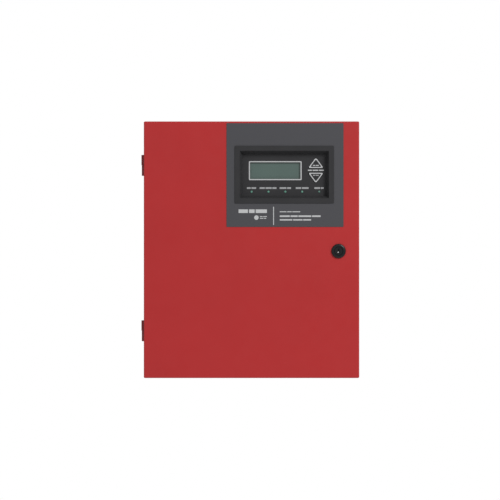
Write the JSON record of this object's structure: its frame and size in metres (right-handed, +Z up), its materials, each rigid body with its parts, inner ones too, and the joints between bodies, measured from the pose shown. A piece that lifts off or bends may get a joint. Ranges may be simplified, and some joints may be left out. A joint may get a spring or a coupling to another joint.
{
  "type": "fire alarm control panel",
  "caption": "Wall cabinet with a hinged red steel door, a recessed display window with keys and indicators, a cam lock, and its board, transformer and batteries inside.",
  "frame": {"origin": "centre of the cabinet's back panel, on the wall", "axes": "+Y into the wall, -Y out of the front, +Z up, +X to the right of someone facing the panel"},
  "size_m": [0.3292, 0.1134, 0.386],
  "materials": {
    "red_paint": "semi-gloss red powder coat with a fine orange-peel texture",
    "dark_red_paint": "the same powder coat on the hinge halves, darker",
    "grey_label": "satin dark grey printed polyester overlay",
    "black_moulding": "fine-textured black moulding",
    "key_plastic": "satin black key caps with a white printed outline",
    "lcd_screen": "unlit grey-green liquid crystal display under a clear window",
    "light_pipe": "clear-green light pipes, unlit",
    "lock_black": "black lacquered die-cast lock body",
    "bright_chrome": "bright plated small metal, such as screws and the keyway shutter",
    "zinc_steel": "zinc-plated sheet steel",
    "black_aluminium": "black anodised extrusion",
    "circuit_board": "green solder mask over glass-epoxy board",
    "terminal_plastic": "green moulded terminal blocks",
    "component_plastic": "black component mouldings",
    "ribbon_grey": "grey flat cable with one marked edge",
    "iron_core": "varnished steel laminations",
    "winding_tape": "yellow polyester winding tape",
    "fuse_glass": "glass fuse link",
    "brass_stud": "brass earth stud, nut and washer",
    "battery_plastic": "dark grey textured battery case",
    "red_wire": "red insulated lead",
    "black_wire": "black insulated lead"
  },
  "bodies": {
    "cabinet": {"cabinet_shell": "red_paint", "cabinet_top": "red_paint", "cabinet_bottom": "red_paint", "cabinet_hinge_upper": "dark_red_paint", "cabinet_hinge_lower": "dark_red_paint", "display_faceplate": "black_moulding", "display_housing": "black_moulding", "lcd_frame": "zinc_steel", "lcd_glass": "lcd_screen", "lcd_board": "circuit_board", "display_board": "circuit_board", "indicator_light_pipes": "light_pipe", "display_bracket_left": "zinc_steel", "display_bracket_right": "zinc_steel", "chassis_plate": "zinc_steel", "main_board": "circuit_board", "terminal_block_1": "terminal_plastic", "terminal_block_2": "terminal_plastic", "terminal_block_3": "terminal_plastic", "terminal_block_4": "terminal_plastic", "relay_1": "component_plastic", "relay_2": "component_plastic", "relay_3": "component_plastic", "line_jack_1": "component_plastic", "line_jack_2": "component_plastic", "network_jack": "zinc_steel", "capacitor_1": "component_plastic", "capacitor_2": "component_plastic", "sounder": "component_plastic", "heat_sink": "black_aluminium", "ribbon_cable": "ribbon_grey", "transformer_core": "iron_core", "transformer_winding": "winding_tape", "transformer_strap": "zinc_steel", "mains_terminal_block": "component_plastic", "fuse_holder": "component_plastic", "fuse": "fuse_glass", "earth_stud": "brass_stud", "battery_left": "battery_plastic", "battery_right": "battery_plastic", "battery_retaining_bar": "zinc_steel", "battery_lead_red": "red_wire", "battery_lead_black": "black_wire", "battery_jumper_lead": "black_wire", "transformer_primary_lead": "black_wire", "transformer_secondary_lead": "black_wire"},
    "door": {"door_panel": "red_paint", "door_label": "grey_label", "display_bezel": "black_moulding", "door_hinge_upper": "dark_red_paint", "door_hinge_lower": "dark_red_paint", "lock_body": "lock_black", "lock_nut": "zinc_steel"},
    "lock_core": {"lock_plug": "lock_black", "lock_cam": "zinc_steel", "cam_screw": "zinc_steel"},
    "up_key": {"key_up": "key_plastic"},
    "down_key": {"key_down": "key_plastic"}
  },
  "joints": [
    {"name": "door_swing", "type": "hinge", "parent": "cabinet", "child": "door", "pos_m": [-0.1633, -0.088, 0], "axis": [0, 0, -1], "range_deg": [0, 130]},
    {"name": "lock_turn", "type": "hinge", "parent": "door", "child": "lock_core", "pos_m": [0.1308, -0.11, -0.002], "axis": [0, -1, 0], "range_deg": [0, 90]},
    {"name": "key_up_press", "type": "slide", "parent": "cabinet", "child": "up_key", "axis": [0, 1, 0], "range_m": [0, 0.0007], "stiffness_N_per_m": 350, "springref_m": -0.001},
    {"name": "key_down_press", "type": "slide", "parent": "cabinet", "child": "down_key", "axis": [0, 1, 0], "range_m": [0, 0.0007], "stiffness_N_per_m": 350, "springref_m": -0.001}
  ]
}
